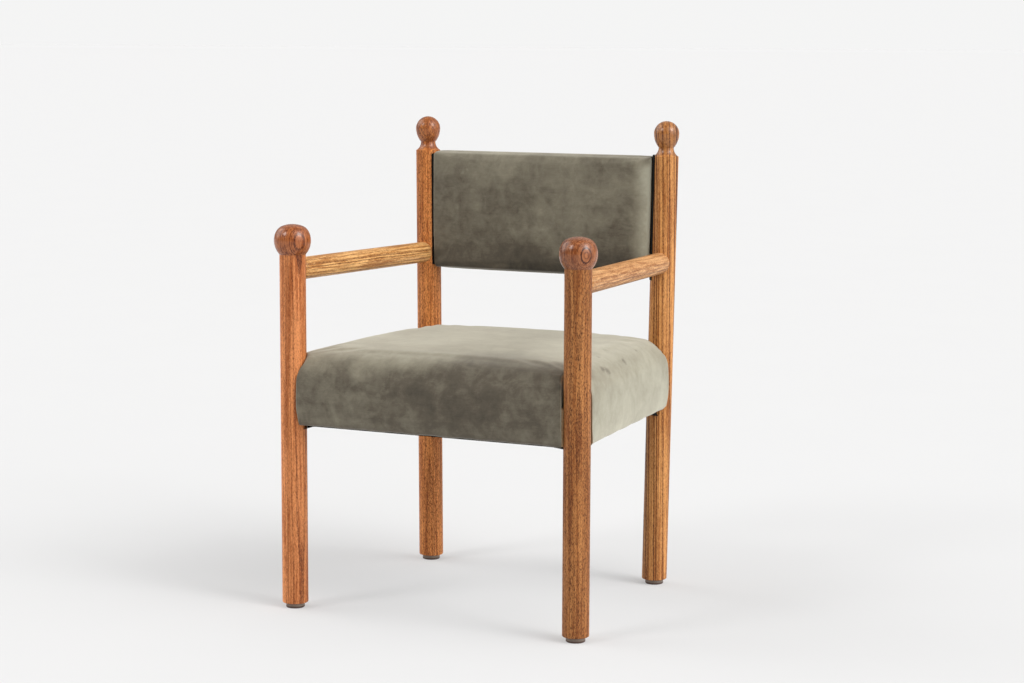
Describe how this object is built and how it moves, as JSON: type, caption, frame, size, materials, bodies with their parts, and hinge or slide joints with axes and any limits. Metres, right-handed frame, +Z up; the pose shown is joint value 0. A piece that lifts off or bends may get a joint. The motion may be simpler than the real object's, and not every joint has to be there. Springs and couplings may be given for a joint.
{
  "type": "dining armchair",
  "caption": "Dining armchair with round turned oak posts, ball finials and round arms, a thick leather seat notched round the posts and a leather back panel between the rear posts.",
  "frame": {"origin": "on the floor, under the middle of the chair's box", "axes": "+Z up, +X to the right as seen from the front, -Y towards the front of the seat"},
  "size_m": [0.6086, 0.5137, 0.8554],
  "materials": {
    "oak": "satin",
    "beech": "matte",
    "plywood": "matte",
    "leather": "matte",
    "foam": "matte",
    "webbing": "matte",
    "dust_cloth": "matte",
    "glide": "matte",
    "steel": "satin"
  },
  "bodies": {
    "root": {"front_left_post": "oak", "front_right_post": "oak", "rear_left_post": "oak", "rear_right_post": "oak", "front_left_knob": "oak", "front_right_knob": "oak", "left_arm": "oak", "right_arm": "oak", "front_seat_rail": "beech", "rear_seat_rail": "beech", "left_seat_rail": "beech", "right_seat_rail": "beech", "front_left_corner_block": "beech", "front_right_corner_block": "beech", "rear_left_corner_block": "beech", "rear_right_corner_block": "beech", "knob_dowels": "beech", "back_dowels": "beech", "back_board": "plywood", "seat_cover": "leather", "back_cover": "leather", "outside_back": "leather", "seat_foam": "foam", "rail_padding": "foam", "back_foam": "foam", "seat_webbing_lengthwise": "webbing", "seat_webbing_crosswise": "webbing", "dust_cover": "dust_cloth", "front_left_glide": "glide", "front_right_glide": "glide", "rear_left_glide": "glide", "rear_right_glide": "glide", "corner_block_screws": "steel", "glide_nails": "steel"}
  },
  "joints": []
}
